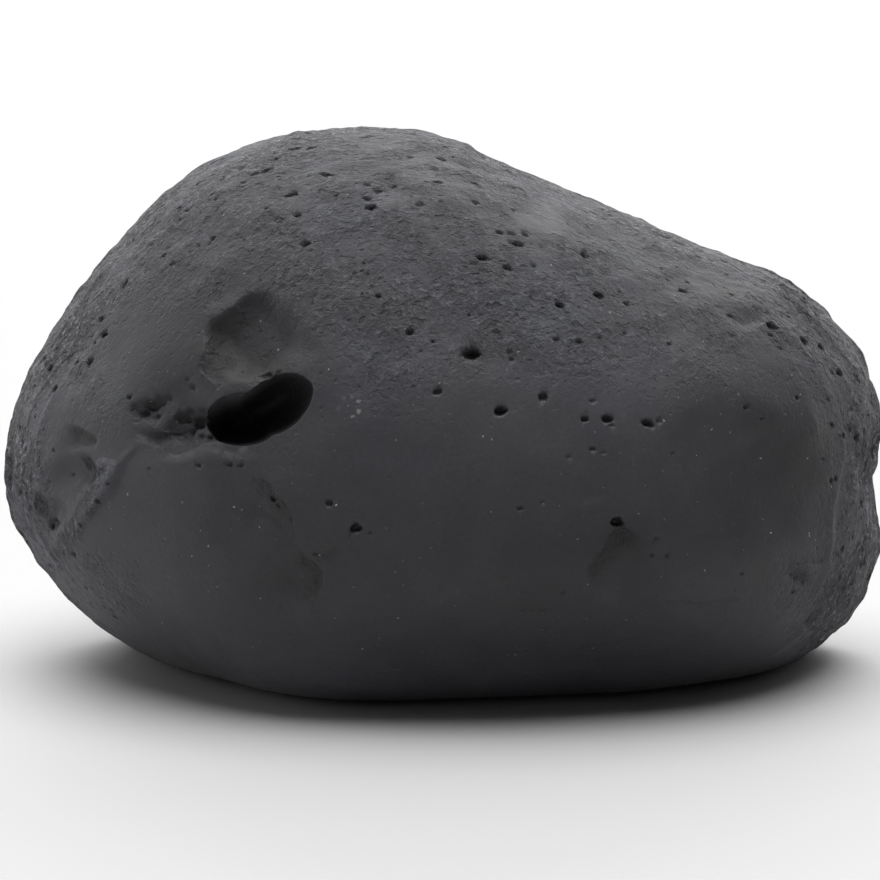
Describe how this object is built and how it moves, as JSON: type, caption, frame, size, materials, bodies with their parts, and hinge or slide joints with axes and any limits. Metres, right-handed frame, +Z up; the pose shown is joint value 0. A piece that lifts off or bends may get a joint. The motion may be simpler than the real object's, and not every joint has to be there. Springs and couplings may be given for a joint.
{
  "type": "river rock",
  "caption": "Water-worn cobble of dark pitted lava stone with one deep socket, lying on its flat underside as a loose decorative stone.",
  "frame": {"origin": "under the middle of the stone's box, on the surface that it lies on", "axes": "+X along the stone's length, to the right as seen from its front, +Y away from the viewer, +Z up"},
  "size_m": [0.1308, 0.0982, 0.0785],
  "materials": {
    "lava_stone": "matte charcoal lava stone, fine pitted skin above and water-smoothed below"
  },
  "bodies": {
    "root": {"river_rock": "lava_stone"}
  },
  "joints": []
}
